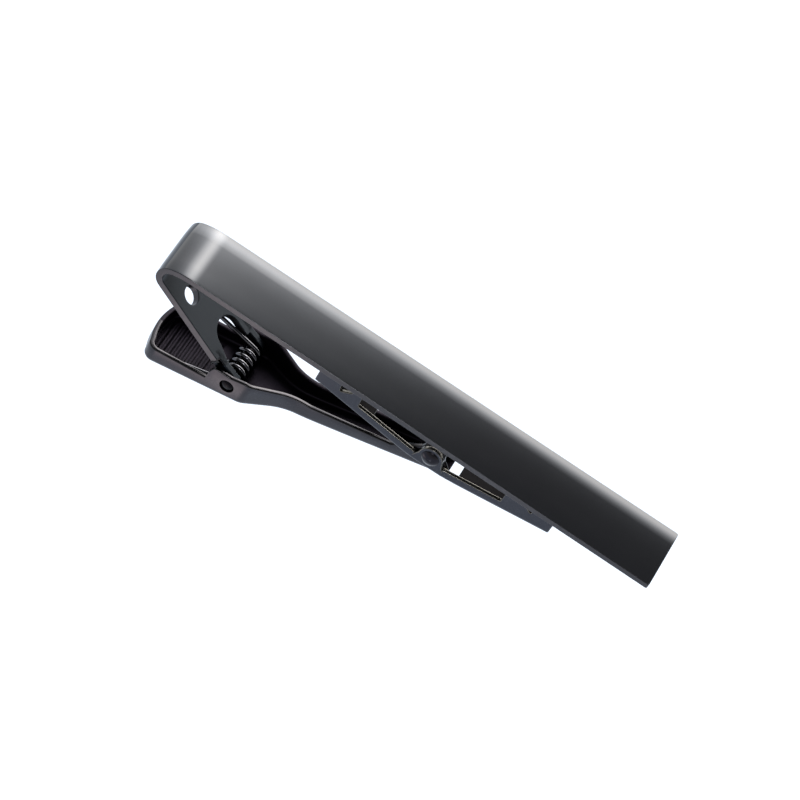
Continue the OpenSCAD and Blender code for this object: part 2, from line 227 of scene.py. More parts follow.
def addPiece(name, mesh, body, slot, *nodes):
    piece = addObject(name, mesh)
    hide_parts(*nodes)
    if body:
        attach(piece, body)
    print("made", name, len(mesh.polygons), "faces")
    return piece


# materials

def hexColour(text):
    # sRGB hex to the linear values that Blender works in
    parts = [int(text[i:i + 2], 16) / 255 for i in (1, 3, 5)]
    return [c / 12.92 if c <= 0.04045 else ((c + 0.055) / 1.055) ** 2.4 for c in parts] + [1]


def addNode(tree, kind, settings=(), **links):
    # a setting is a property or the default of an input; a link gives an input the socket that feeds it
    node = tree.nodes.new(kind)
    for key, value in dict(settings).items():
        if key in node.inputs:
            node.inputs[key].default_value = value
        elif key.isdigit():
            node.inputs[int(key)].default_value = value
        else:
            setattr(node, key, value)
    for key, socket in links.items():
        # i0 and i1 name an input by its number, any other key by its own name
        numbered = key[0] == "i" and key[1:].isdigit()
        tree.links.new(socket, node.inputs[int(key[1:]) if numbered else key.replace("_", " ")])
    return node


def platedMetal(name, colours, roughness, grain):
    # plating over pressed or polished steel: a metal whose colour, haze and grain all vary a little
    material = bpy.data.materials.new(name)
    material.use_nodes = True
    tree = material.node_tree
    shader = tree.nodes["Principled BSDF"]
    shader.inputs["Metallic"].default_value = 1.0
    place = addNode(tree, "ShaderNodeTexCoord").outputs["Object"]
    # fine lines along the rolling direction
    stretched = addNode(tree, "ShaderNodeMapping", {"Scale": grain["stretch"]}, Vector=place).outputs[0]
    lines = addNode(tree, "ShaderNodeTexNoise",
                    {"Scale": 1 / (grain["width"] * mm), "Detail": 3.0, "Roughness": 0.6},
                    Vector=stretched).outputs["Fac"]
    # slow changes in the plating's thickness
    cloud = addNode(tree, "ShaderNodeTexNoise", {"Scale": 1 / (grain["cloud"] * mm), "Detail": 2.0},
                    Vector=place).outputs["Fac"]
    colour = addNode(tree, "ShaderNodeMix", {"data_type": "RGBA"})
    colour.inputs[6].default_value, colour.inputs[7].default_value = (hexColour(text) for text in colours)
    tree.links.new(cloud, colour.inputs[0])
    tree.links.new(colour.outputs[2], shader.inputs["Base Color"])
    low, high = roughness
    haze = addNode(tree, "ShaderNodeMapRange", {"From Min": 0.3, "From Max": 0.7, "To Min": low, "To Max": high},
                   Value=lines).outputs[0]
    tree.links.new(haze, shader.inputs["Roughness"])
    # the bump's height is in metres, as the lines stand on the real surface
    relief = addNode(tree, "ShaderNodeBump", {"Strength": 1.0, "Distance": grain["height"] * mm},
                     Height=lines).outputs[0]
    tree.links.new(relief, shader.inputs["Normal"])
    return material


# what each way of making leaves, in mm: width, stretch and height of its fine lines, and width of the clouds
# the real lines are finer, and these are just wide enough to show
polishedGrain = {"width": 0.09, "stretch": (0.08, 1, 1), "height": 0.00001, "cloud": 3.0}
rolledGrain = {"width": 0.12, "stretch": (0.2, 1, 1), "height": 0.0006, "cloud": 2.0}
shearedGrain = {"width": 0.10, "stretch": (1, 1, 0.25), "height": 0.0015, "cloud": 1.0}
drawnGrain = {"width": 0.14, "stretch": (0.5, 1, 1), "height": 0.0006, "cloud": 2.0}
pressedGrain = {"width": 0.12, "stretch": (0.4, 1, 1), "height": 0.0006, "cloud": 2.0}
turnedGrain = {"width": 0.10, "stretch": (1, 0.2, 1), "height": 0.0004, "cloud": 0.8}
wireGrain = {"width": 0.08, "stretch": (1, 1, 1), "height": 0.0002, "cloud": 0.8}

# polished steel under black nickel plating: a dark grey mirror with a soft haze, for the bar's face
polishedBlackNickel = platedMetal("polishedBlackNickel", ("#3f4042", "#434446"), (0.075, 0.085), polishedGrain)
# the same plating on the rolled inner side, which was never polished: duller, with a painted darker, bluer colour
# standing in for the cool reflection and shade it sits in
rolledNickelPaintedCoolShade = platedMetal("rolledNickelPaintedCoolShade", ("#212529", "#24282d"), (0.32, 0.42), rolledGrain)
# a sheared edge under the plating: a little warmer, with fine drag lines through the thickness
shearedBlackNickel = platedMetal("shearedBlackNickel", ("#3c3b3d", "#424143"), (0.30, 0.42), shearedGrain)
# deep-drawn sheet, barrel plated: satin, with a trace of brown
drawnBlackNickel = platedMetal("drawnBlackNickel", ("#343336", "#3a393c"), (0.26, 0.36), drawnGrain)
# inside the drawn lever: painted shade, so it is nearly black, with a purple tint
insideNickelPaintedShade = platedMetal("insideNickelPaintedShade", ("#17151a", "#1c191f"), (0.42, 0.52), drawnGrain)
# rims that were tumbled: brighter where the arris has worn
tumbledBlackNickel = platedMetal("tumbledBlackNickel", ("#2b2a2c", "#353436"), (0.16, 0.24),
                                 {**drawnGrain, "cloud": 1.2})
# pressed sheet of the foot, plated in the same barrel: slate grey
pressedBlackNickel = platedMetal("pressedBlackNickel", ("#333439", "#38393e"), (0.26, 0.36), pressedGrain)
# inside the narrow foot: painted shade, nearly black
footInsidePaintedShade = platedMetal("footInsidePaintedShade", ("#0a090b", "#0d0c0e"), (0.45, 0.55), pressedGrain)
# the foot's cut rims: plating worn by rubbing on cloth, made lighter and a little warmer as a painted highlight
# for their bright lines
wornRimPaintedHighlight = platedMetal("wornRimPaintedHighlight", ("#5a5854", "#66645f"), (0.16, 0.24),
                              {**drawnGrain, "height": 0.0004, "cloud": 1.2})
# turned rivet under the same plating: dark polished heads
turnedBlackNickel = platedMetal("turnedBlackNickel", ("#212024", "#27262a"), (0.12, 0.18), turnedGrain)
# the pin was blackened before it went in
blackenedPin = platedMetal("blackenedPin", ("#0b0a0c", "#0f0e10"), (0.2, 0.3), turnedGrain)
# drawn music wire, plated: bright lines on its crests
drawnSpringWire = platedMetal("drawnSpringWire", ("#4c4c50", "#555559"), (0.06, 0.10), wireGrain)
print("materials made")


# face bar: one strip, folded back, with the tab and the two lugs for the pin

bar = {
    "length": 58.0, "width": 7.9, "thickness": 0.8, "arris": 0.08,
    "foldRadius": 1.75, "leadRadius": 7.0, "leadAngle": 19.0, "ease": 1.0,
    "legAngle": 32.5, "legLength": 10.1,
    "holeRadius": 1.0, "holeReach": 3.35, "holeSide": 1.35,
    "slotWidth": 3.8, "slotLength": 2.5, "tabLength": 1.2,
    "lugWidth": 6.3, "lugThickness": 0.7, "lugRadius": 1.1, "lugBore": 0.76, "lugShoulder": 0.4, "lugCorner": 0.1,
    "pinReach": 3.1, "pinDrop": 0.07,
    "crownDrop": 0.11, "crownStart": 2.05, "bow": 0.004,  # the polished face falls away towards both edges
    "crownFade": (-0.2, 3.0),  # where along the strip the crown comes in: the fold is nearly straight across
    "cornerRadius": 0.25, "legCorner": 0.2,
    "foldCuts": 44, "leadCuts": 20,  # creases round the fold and along the lead-in
    "crownCuts": (0.7, 1.4, 2.05, 2.3, 2.55, 2.8, 3.05, 3.3, 3.5, 3.7, 3.82),
}
foldX = -bar["length"] / 2 + bar["foldRadius"]
foldZ = -bar["leadRadius"] + (bar["leadRadius"] - bar["foldRadius"]) * cos(radians(bar["leadAngle"]))
legTurn = radians(bar["legAngle"])


def legPoint(s, q):
    # s runs along the return leg from the end of the fold, q outwards from the fold's centre
    return (foldX + s * cos(legTurn) - q * sin(legTurn), foldZ - s * sin(legTurn) - q * cos(legTurn))


pinS, pinQ = bar["legLength"] + bar["pinReach"], bar["foldRadius"] + bar["pinDrop"]
pivotX, pivotZ = legPoint(pinS, pinQ)
foldMiddle = bar["foldRadius"] - bar["thickness"] / 2
foldSweep = radians(180 - bar["leadAngle"] - bar["legAngle"])
foldRun = foldMiddle * foldSweep

# lead-in on the middle surface, from the fold up to the flat face
# its curve eases out, so the light's edge on it stays soft
leadTurn, ease = radians(bar["leadAngle"]), bar["ease"]
leadMiddle = bar["leadRadius"] - bar["thickness"] / 2
leadMiddle = (leadMiddle + sqrt(leadMiddle ** 2 - 2 / 3 * ease ** 2 / (1 - cos(leadTurn)))) / 2
leadRun = leadTurn * leadMiddle + ease
leadSteps = 400
leadStep = leadRun / leadSteps
leadCurve = [(foldX - foldMiddle * sin(leadTurn), foldZ + foldMiddle * cos(leadTurn), leadTurn)]
for step in range(leadSteps):
    left = leadRun - (step + 0.5) * leadStep
    slope = left ** 2 / (4 * ease * leadMiddle) if left < 2 * ease else (left - ease) / leadMiddle
    x, z, _ = leadCurve[-1]
    leadCurve.append((x + cos(slope) * leadStep, z + sin(slope) * leadStep,
                      max(0, slope - leadStep / 2 / leadMiddle)))
leadCurve[-1] = (leadCurve[-1][0], -bar["thickness"] / 2, 0)
flatRun = bar["length"] / 2 - leadCurve[-1][0]
print("lead-in curve made, flat for", round(flatRun, 1), "mm after it")


def foldBar(u, y):
    # u runs along the strip's middle from the end of the fold: the leg is below zero, the flat face far above
    if u <= 0:
        turn = pi - legTurn
        x, z = legPoint(-u, foldMiddle)
    elif u < foldRun:
        turn = pi - legTurn - u / foldMiddle
        x, z = foldX - foldMiddle * sin(turn), foldZ + foldMiddle * cos(turn)
    else:
        at = min(leadSteps, (u - foldRun) / leadStep)
        low = min(leadSteps - 1, int(at))
        x, z, turn = (a + (b - a) * (at - low) for a, b in zip(leadCurve[low], leadCurve[low + 1]))
        x += max(0, u - foldRun - leadRun)
    return (Vector((x, y, z)), Vector((cos(turn), 0, sin(turn))), Vector((0, 1, 0)),
            Vector((-sin(turn), 0, cos(turn))))


def crownBar(u, y):
    # how far the polished face has fallen at y, and its slope there
    side = bar["width"] / 2 - bar["crownStart"]
    share = max(0, (abs(y) - bar["crownStart"]) / side)
    drop = bar["crownDrop"] * share * share + bar["bow"] * y * y / 2
    slope = 2 * bar["crownDrop"] * share / side + bar["bow"] * abs(y)
    start, end = bar["crownFade"]
    fade = min(1, max(0, (u - start) / (end - start)))
    return drop * fade, (slope if y > 0 else -slope) * fade


def makeBar():
    half, leg, tab = bar["width"] / 2, bar["legLength"], bar["legLength"] + bar["tabLength"]
    slot, lug = bar["slotWidth"] / 2, bar["lugWidth"] / 2
    slotS = leg - bar["slotLength"] + slot
    end = foldRun + leadRun + flatRun
    outline = roundCorners([(end, -half), (end, half), (-leg, half), (-leg, lug), (-tab, lug), (-tab, slot)],
                           bar["cornerRadius"])
    outline += arcPoints((-slotS, 0), slot, 90, -90, 20)
    outline += roundCorners([(-tab, -slot), (-tab, -lug), (-leg, -lug), (-leg, -half)], bar["legCorner"])
    hole = arcPoints((-bar["holeReach"], -bar["holeSide"]), bar["holeRadius"], 0, 345, 47)
    creases = [foldRun * i / bar["foldCuts"] for i in range(bar["foldCuts"] + 1)]
    creases += [foldRun + leadRun * i / bar["leadCuts"] for i in range(1, bar["leadCuts"] + 1)]
    lengthwise = [side * y for side in (-1, 1) for y in bar["crownCuts"]]
    blank = cutBlank([outline, hole], bar["thickness"], bar["arris"], creases, [0, *lengthwise])
    parts = [foldBlank(blank, bar["thickness"], bar["arris"], foldBar, crownBar)]
    # lugs: upright plates along the leg, bored for the pin
    r, t = bar["foldRadius"], bar["thickness"]
    plate = roundCorners([(leg - t, -r), (leg - t, t - r), (tab, t - r),
                          (pinS - bar["lugShoulder"], bar["lugRadius"] - pinQ)], bar["lugCorner"])
    plate += arcPoints((pinS, -pinQ), bar["lugRadius"], 90, -90, 16)
    bore = arcPoints((pinS, -pinQ), bar["lugBore"], 0, 350, 35)
    for side in (-1, 1):
        middleY = side * (bar["lugWidth"] - bar["lugThickness"]) / 2

        def standLug(s, q, middleY=middleY):
            x, z = legPoint(s, -q)
            return (Vector((x, middleY, z)), Vector((cos(legTurn), 0, -sin(legTurn))),
                    Vector((sin(legTurn), 0, cos(legTurn))), Vector((0, -1, 0)))
        blank = cutBlank([plate, bore], bar["lugThickness"], bar["arris"])
        *shape, kinds = foldBlank(blank, bar["lugThickness"], bar["arris"], standLug)
        # the lugs take the inner side's material too, with its painted darker, bluer colour
        parts.append((*shape, [1] * len(kinds)))  # a lug is never polished
    makePiece("faceBar", parts, [polishedBlackNickel, rolledNickelPaintedCoolShade, shearedBlackNickel], "bar",
              "polished_gunmetal", "face_bar")


makeBar()


# thumb lever: one deep-drawn channel, with the ribbed pad, the ears, the neck and the arm

lever = {
    "thickness": 0.5, "padWidth": 7.6, "armWidth": 3.6, "padReach": 9.6, "padAngle": 11.8, "floorDrop": 2.0,
    "rimTip": 2.4, "rimEar": 1.8, "earRadius": 2.3, "earRise": 1.35, "shoulderRise": 1.75, "neckReach": 1.5,
    "shoulderReach": 4.8, "bendReach": 8.2, "bendWall": 2.3, "armWall": 1.75, "neckAngle": 27.0,
    "neckOut": 2.0, "neckIn": 6.0, "padCorner": 1.3, "padBow": 0.4,
    "drawRadius": 0.8, "rimRound": 0.11,  # radius of the drawn bottom corner, and of the rim's arrises
    "leastInside": 0.12, "leastWall": 0.05, "lowWall": 0.2,  # for the corner where the wall is low
    "floorEase": 1.2, "earStep": 0.04, "earRun": 0.4, "knuckleRun": 1.7,
    # longest edges along the rim, shorter where its height changes fast
    "wallEdge": 0.3, "knuckleEdge": 0.09, "neckEdge": 0.2, "earEdge": 0.12, "earEndEdge": 0.03, "padEdge": 0.07,
    "ribCount": 9, "ribPitch": 0.68, "ribDepth": 0.12, "ribRadius": 0.3, "ribStart": 1.3,
    "ribMargin": 0.02, "ribFade": 0.15,  # the ribs run out just inside the pad's corners
    "boreRadius": 0.81,
    "rivetReach": 21.1, "rivetEar": 1.35, "armDrop": 2.7, "noseLength": 2.3, "noseHeight": 0.9,
}
# the arm ends at the foot's rivet, so the foot's sizes stand here too
foot = {
    "back": 14.0, "front": 13.9, "width": 4.8, "thickness": 0.5, "endHeight": 3.3, "middleHeight": 5.2,
    "level": 2.0, "bowEase": 0.9, "bowSpare": 0.02, "rail": 1.3, "rearJaw": 5.1, "frontJaw": 5.7,
    "rearNotch": (2.4, 2.2, 2.4), "frontNotch": (2.3, 1.4, 2.0),  # start from the end, length, depth
    "notchShares": (0.15, 0.68, 0.72),  # where the notch's floor starts and ends, and its depth at that end
    "cutoutBack": 7.1, "cutoutFront": 3.4, "cutoutHalf": 2.05, "cutoutCorner": 0.5,
    "closedGap": 0.05, "rivetDrop": 3.4, "bend": 0.62, "arris": 0.14, "lip": 0.8, "edgeCorner": 0.16,
    "boreRadius": 0.65, "earRadius": 1.35, "earGap": 0.25,
    "edge": 0.4, "cutStep": 0.5, "bendCuts": 6,  # longest edge along the jaws, and spacing of the creases
}
jawZ = -bar["thickness"] - foot["closedGap"]
rivetX, rivetZ = pivotX + lever["rivetReach"], jawZ - foot["rivetDrop"]
bendX = pivotX + lever["bendReach"]
padSlope = tan(radians(lever["padAngle"]))
bendZ = pivotZ - lever["floorDrop"] + lever["bendReach"] * padSlope
armSlope = (rivetZ - lever["armDrop"] - bendZ) / (rivetX - bendX)
tipX, noseX = pivotX - lever["padReach"], rivetX + lever["noseLength"]


def floorZ(x):
    # outside of the floor: two slopes with an eased bend between them
    soft = lever["floorEase"]
    straight = bendZ + (x - bendX) * (padSlope + armSlope) / 2
    return straight + (armSlope - padSlope) / 2 * sqrt((x - bendX) ** 2 + soft * soft)


def leverTop():
    # top of the walls, as points of growing x
    earX, earTurn = pivotX - lever["earRadius"], asin(lever["earRise"] / lever["earRadius"])
    ear = arcPoints((pivotX, pivotZ), lever["earRadius"], 180, 180 - degrees(earTurn), 8)
    wallX = rivetX - lever["armDrop"] - lever["rivetEar"]
    knuckle = arcPoints((rivetX, rivetZ), lever["rivetEar"], 170, 0, 16)
    points = [(tipX, floorZ(tipX) + lever["rimTip"]), (earX - lever["earStep"], floorZ(earX) + lever["rimEar"])]
    points += ear + [(pivotX, pivotZ + lever["earRise"])]
    points += [(pivotX + lever["neckReach"], pivotZ + lever["shoulderRise"]),
               (pivotX + lever["shoulderReach"], pivotZ + lever["shoulderRise"]),
               (bendX, bendZ + lever["bendWall"]), (wallX, floorZ(wallX) + lever["armWall"])]
    points += knuckle + [(noseX, floorZ(noseX) + lever["noseHeight"])]
    return points


def leverPlan():
    # half of the outline seen from above, from the nose to the middle of the tip, with outward directions
    half, slant = lever["padWidth"] / 2, lever["neckAngle"]
    outR, inR = lever["neckOut"], lever["neckIn"]
    drop = (lever["padWidth"] - lever["armWidth"]) / 2 - (outR + inR) * (1 - cos(radians(slant)))
    run = (outR + inR) * sin(radians(slant)) + drop / tan(radians(slant))
    neckX = pivotX + lever["neckReach"]
    line = []

    def straight(x0, y0, x1, y1, longest):
        parts = max(1, ceil(hypot(x1 - x0, y1 - y0) / longest))
        n = Vector((y0 - y1, x1 - x0)).normalized()
        n = n if n.y > 0 or n.x < -0.9 else -n  # outwards
        line.extend(((x0 + (x1 - x0) * k / parts, y0 + (y1 - y0) * k / parts), n) for k in range(parts))

    def turn(centre, radius, start, end, steps, facing):
        for k in range(steps):
            a = radians(start + (end - start) * k / steps)
            at = (centre[0] + radius * cos(a), centre[1] + radius * sin(a))
            line.append((at, Vector((cos(a), sin(a))) * facing))

    armHalf, knuckle = lever["armWidth"] / 2, lever["knuckleRun"]
    straight(noseX, armHalf, rivetX + knuckle, armHalf, lever["wallEdge"])
    straight(rivetX + knuckle, armHalf, rivetX - knuckle, armHalf, lever["knuckleEdge"])
    straight(rivetX - knuckle, armHalf, neckX + run, armHalf, lever["wallEdge"])
    turn((neckX + run, armHalf + inR), inR, 270, 270 - slant, 24, -1)
    a = radians(270 - slant)
    x0, y0 = neckX + run + inR * cos(a), armHalf + inR + inR * sin(a)
    x1, y1 = neckX + outR * sin(radians(slant)), half - outR + outR * cos(radians(slant))
    straight(x0, y0, x1, y1, lever["neckEdge"])
    turn((neckX, half - outR), outR, 90 - slant, 90, 14, 1)
    earX, step = pivotX - lever["earRadius"], lever["earStep"]
    straight(neckX, half, earX + lever["earRun"], half, lever["earEdge"])
    straight(earX + lever["earRun"], half, earX, half, lever["earEndEdge"])
    line.append(((earX - step, half), Vector((0, 1))))
    cornerX = tipX + lever["padBow"] + lever["padCorner"]
    straight(earX - 1.5 * step, half, cornerX, half, lever["padEdge"])
    cornerY = half - lever["padCorner"]
    bowTurn = degrees(atan(2 * lever["padBow"] / cornerY))
    turn((cornerX, cornerY), lever["padCorner"], 90, 180 - bowTurn, 22, 1)
    for k in range(24):
        share = 1 - k / 24
        n = Vector((-1, 2 * lever["padBow"] * share / cornerY)).normalized()
        line.append(((tipX + lever["padBow"] * share * share, cornerY * share), n))
    line.append(((tipX, 0), Vector((-1, 0))))
    return line


def interpolate(points, x):
    i = min(max(bisect_right([p[0] for p in points], x) - 1, 0), len(points) - 2)
    (x0, z0), (x1, z1) = points[i], points[i + 1]
    share = min(1, max(0, (x - x0) / max(1e-9, x1 - x0)))
    return z0 + (z1 - z0) * share


def ribDip(x, y):
    # pressed ribs: shallow round troughs inside, which stand proud underneath
    inside = lever["padWidth"] / 2 - lever["padCorner"] - abs(y)
    if inside < lever["ribMargin"]:
        return 0
    at = (x - tipX - lever["ribStart"]) / lever["ribPitch"]
    i = min(lever["ribCount"] - 1, max(0, round(at)))
    away = abs(at - i) * lever["ribPitch"]
    r, h = lever["ribRadius"], lever["ribDepth"]
    return max(0, h - (r - sqrt(max(0, r * r - away * away)))) * min(1, inside / lever["ribFade"])


def quarterTurn(steps):
    return [pi / 2 * k / steps for k in range(steps + 1)]


def withoutRepeats(corners):
    return [v for n, v in enumerate(corners) if v not in corners[:n]]


def faceOutwards(mesh, mostCorners=0):
    # turns every face outwards, and splits faces with more corners than mostCorners into triangles
    shape = bmesh.new()
    shape.from_mesh(mesh)
    if mostCorners:
        bmesh.ops.triangulate(shape, faces=[face for face in shape.faces if len(face.verts) > mostCorners])
    bmesh.ops.recalc_face_normals(shape, faces=shape.faces)
    shape.to_mesh(mesh)
    shape.free()


def makeLever():
    top = leverTop()
    t, e = lever["thickness"], lever["rimRound"]
    half = leverPlan()
    walk = [((x, -y), Vector((n.x, -n.y))) for (x, y), n in half]
    walk += [((x, y), n) for (x, y), n in reversed(half[:-1])]
    count = len(walk)
    middle = count // 2
    drawSteps, rimSteps, insideSteps = 8, 3, 6
    rimStart = drawSteps + 2
    rimEnd = rimStart + 2 * rimSteps + 1
    points, rings = [], []
    for (x, y), n in walk:
        # the wall's section, as (out, up) from the floor's edge: drawn corner, wall, rim, and back down inside
        height = interpolate(top, x) - floorZ(x)
        r = min(lever["drawRadius"], max(t + lever["leastInside"], height - e - lever["leastWall"]))
        wall = height - e - r
        halfway = r + wall / 2 if wall > lever["lowWall"] else r
        section = [(r * sin(a) - r, r - r * cos(a)) for a in quarterTurn(drawSteps)] + [(0, halfway)]
        section += [(e * cos(a) - e, height - e + e * sin(a)) for a in quarterTurn(rimSteps)]
        section += [(e - t - e * sin(a), height - e + e * cos(a)) for a in quarterTurn(rimSteps)] + [(-t, halfway)]
        section += [((r - t) * cos(a) - r, r - (r - t) * sin(a)) for a in quarterTurn(insideSteps)]
        ring = []
        for out, up in section:
            ring.append(len(points))
            px, py = x + n.x * out, y + n.y * out
            points.append(Vector((px, py, floorZ(px) + up)))
        rings.append(ring)
    faces, kinds = [], []
    size = len(rings[0])
    for i in range(count - 1):
        # 0 outside, 1 inside with painted shade, 2 rim; the far rim's inner arris gets the painted shade too
        paintedShadeFrom = rimStart + 2 if walk[i][0][1] > 0 else rimEnd
        for k in range(size - 1):
            faces.append([rings[i][k], rings[i + 1][k], rings[i + 1][k + 1], rings[i][k + 1]])
            kinds.append(0 if k < rimStart else 2 if k < paintedShadeFrom else 1)
    across = 26  # faces across the floor
    ends = []
    for k, sheet in ((0, 0), (size - 1, t)):
        rows = []
        for i in range(middle):
            a, b = points[rings[i][k]], points[rings[count - 1 - i][k]]
            row = [rings[i][k]]
            for j in range(1, across):
                # closer together at both ends, where the ribs start
                share = 0.5 - 0.5 * cos(pi * j / across)
                p = a.lerp(b, share)
                row.append(len(points))
                points.append(Vector((p.x, p.y, floorZ(p.x) + sheet - ribDip(p.x, p.y))))
            row.append(rings[count - 1 - i][k])
            rows.append(row)
        rows.append([rings[middle][k]] * (across + 1))
        for i in range(middle):
            for j in range(across):
                quad = withoutRepeats([rows[i][j], rows[i][j + 1], rows[i + 1][j + 1], rows[i + 1][j]])
                faces.append(quad if k == 0 else quad[::-1])
                kinds.append(0 if k == 0 else 1)
        ends.append(rows[0])
    faces.append(ends[0][::-1] + rings[0][1:] + ends[1][1:] + rings[-1][-2:0:-1])
    kinds.append(2)
    mesh = bpy.data.meshes.new("thumbLever")
    mesh.from_pydata([p * mm for p in points], [], faces)
    for material in (drawnBlackNickel, insideNickelPaintedShade, tumbledBlackNickel):
        mesh.materials.append(material)
    mesh.polygons.foreach_set("material_index", kinds)
    faceOutwards(mesh, 4)
    r, past = lever["boreRadius"], 5  # the drill runs past both ears
    drill = lathe("drill", [(0, -past), (r, -past), (r, past), (0, past)], 48, (pivotX, 0, pivotZ))
    mesh = cutAndSoften(mesh, [drill])
    addPiece("thumbLever", mesh, "lever", "satin_gunmetal", "lever")


def lathe(name, profile, steps, at):
    # turns a profile of (radius, y) round an axis along Y
    angles = [2 * pi * k / steps for k in range(steps)]
    points, faces, rows = [], [], []
    for radius, y in profile:
        if radius == 0:
            rows.append([len(points)] * steps)
            points.append(Vector((0, y, 0)))
        else:
            rows.append(list(range(len(points), len(points) + steps)))
            points += [Vector((radius * cos(a), y, radius * sin(a))) for a in angles]
    for row, after in zip(rows, rows[1:]):
        for k in range(steps):
            side = (k + 1) % steps
            quad = withoutRepeats([row[k], row[side], after[side], after[k]])
            if len(quad) > 2:
                faces.append(quad)
    mesh = bpy.data.meshes.new(name)
    mesh.from_pydata([(p + Vector(at)) * mm for p in points], [], faces)
    faceOutwards(mesh)
    return mesh


def cutAndSoften(mesh, cutters=(), sharp=38):
    # bores first, then smooth shading that leaves flat walls flat
    holder = addObject("work", mesh)
    tools = [addObject("tool", cutter) for cutter in cutters]
    for tool in tools:
        cut = holder.modifiers.new("bore", "BOOLEAN")
        cut.object, cut.operation, cut.solver = tool, "DIFFERENCE", "EXACT"
    made = settled(holder)
    made.polygons.foreach_set("use_smooth", [True] * len(made.polygons))
    made.set_sharp_from_angle(angle=radians(sharp))
    holder.modifiers.clear()
    holder.data = made
    holder.modifiers.new("flat", "WEIGHTED_NORMAL").keep_sharp = True
    final = settled(holder)
    for work in (*tools, holder):
        bpy.data.objects.remove(work)
    return final


makeLever()


# gripper foot: a bowed channel, its walls cut to two jaws a side and an ear for the rivet

footBack, footFront = rivetX - foot["back"], rivetX + foot["front"]
bendFlat = foot["width"] / 2 - foot["bend"]
bendMiddle = foot["bend"] - foot["thickness"] / 2
bendRun = bendMiddle * pi / 2


def baseZ(x):
    # outside of the base: level at the middle, with straight wings
    reach = foot["back"] if x < rivetX else foot["front"]
    slope = (foot["middleHeight"] - foot["endHeight"]) / (reach - foot["level"])
    past, soft = abs(x - rivetX) - foot["level"], foot["bowEase"]
    rise = slope * (past + sqrt(past * past + soft * soft)) / 2
    most = foot["middleHeight"] - foot["endHeight"] + foot["bowSpare"]
    return jawZ - foot["middleHeight"] + min(rise, most)


def foldFoot(x, v):
    # v runs across the blank from the middle of the base, round the bend and up the wall
    side, run = (-1 if v >= 0 else 1), abs(v)
    step = 0.01  # for the slope
    slope = atan((baseZ(x + step) - baseZ(x - step)) / (2 * step))
    if run <= bendFlat:
        y, up, a = run, foot["thickness"] / 2, 0
    elif run < bendFlat + bendRun:
        a = (run - bendFlat) / bendMiddle
        y, up = bendFlat + bendMiddle * sin(a), foot["bend"] - bendMiddle * cos(a)
    else:
        a = pi / 2
        y, up = bendFlat + bendMiddle, foot["bend"] + run - bendFlat - bendRun
    outward = Vector((sin(slope) * cos(a), side * sin(a), -cos(slope) * cos(a)))
    alongY = Vector((0, -cos(a), -side * sin(a)))
    alongX = alongY.cross(outward)
    return Vector((x, side * y, baseZ(x) + up)), alongX, alongY, outward


def wallRun(x, z):
    # blank coordinate of a height on the wall
    return z - baseZ(x) - foot["bend"] + bendFlat + bendRun


def notchPoints(x, length, depth, facing):
    start, end, endDepth = foot["notchShares"]
    return [(x, jawZ), (x + facing * length * start, jawZ - depth),
            (x + facing * length * end, jawZ - depth * endDepth), (x + facing * length, jawZ)]


def roundEdge(startX, points, endX, steps=3):
    # fillets an open run of points: a corner far below each end closes it, and comes off again
    below = jawZ - 9
    return roundCorners([(startX, below), *points, (endX, below)], foot["edgeCorner"], steps)[steps + 1:-steps - 1]


def makeFoot():
    rearWindow, frontWindow = footBack + foot["rearJaw"], footFront - foot["frontJaw"]
    rear = notchPoints(footBack + foot["rearNotch"][0], *foot["rearNotch"][1:], 1)
    front = notchPoints(footFront - foot["frontNotch"][0], *foot["frontNotch"][1:], -1)[::-1]
    ear = foot["earRadius"]
    earRun = ear + foot["earGap"]

    def rail(x):
        return (x, baseZ(x) + foot["rail"])
    aside = 3
    wall = roundEdge(footBack - aside, [(footBack, jawZ), *rear, (rearWindow, jawZ), rail(rearWindow),
                                        rail(rivetX - earRun)], rivetX - aside)
    wall += [p for p in arcPoints((rivetX, rivetZ), ear, 180, 0, 24) if p[1] > rail(rivetX)[1]]
    wall += roundEdge(rivetX + aside, [rail(rivetX + earRun), rail(frontWindow), (frontWindow, jawZ), *front,
                                       (footFront, jawZ)], footFront + aside)
    half = [(x, wallRun(x, z)) for x, z in splitLong(wall, foot["edge"], closed=False)]
    baseRow = [foot["edge"] * k for k in range(5, -6, -1)]
    outline = half + [(footFront, v) for v in baseRow]
    outline += [(x, -v) for x, v in reversed(half)] + [(footBack, -v) for v in baseRow]
    cut, backX, frontX = foot["cutoutHalf"], rivetX - foot["cutoutBack"], rivetX + foot["cutoutFront"]
    window = roundCorners([(backX, -cut), (frontX, -cut), (frontX, cut), (backX, cut)], foot["cutoutCorner"], 6)
    window = splitLong(window, foot["cutStep"])
    boreV = wallRun(rivetX, rivetZ)
    bores = [arcPoints((rivetX, side * boreV), foot["boreRadius"], 0, 345, 23) for side in (-1, 1)]
    cutCount = int((foot["back"] + foot["front"]) / foot["cutStep"])
    cutsX = [footBack + foot["cutStep"] * k for k in range(1, cutCount + 1)]
    cutsY = [side * (bendFlat + bendRun * k / foot["bendCuts"])
             for side in (-1, 1) for k in range(foot["bendCuts"] + 1)]
    blank = cutBlank([outline, window, *bores], foot["thickness"], foot["arris"], cutsX, cutsY)
    part = foldBlank(blank, foot["thickness"], foot["arris"], foldFoot, lip=foot["lip"])
    makePiece("gripperFoot", [part], [pressedBlackNickel, footInsidePaintedShade, wornRimPaintedHighlight], "foot",
              "satin_gunmetal", "gripper_foot")


makeFoot()


# pivot pin and rivet, turned

pin = {
    "radius": 0.75, "length": 7.6, "dome": 0.22,
    "rim": 0.06, "edge": ((0.018, 0.01), (0, 0.08)),  # the dome's rim, and the way over the edge: in, down
}
rivet = {
    "shank": 0.6, "head": 0.97, "height": 0.4, "gap": 0.04,
    "rim": 0.06, "edge": ((0.015, 0.03), (0, 0.06)), "under": ((0.02, 0.02), (0.06, 0)),
}


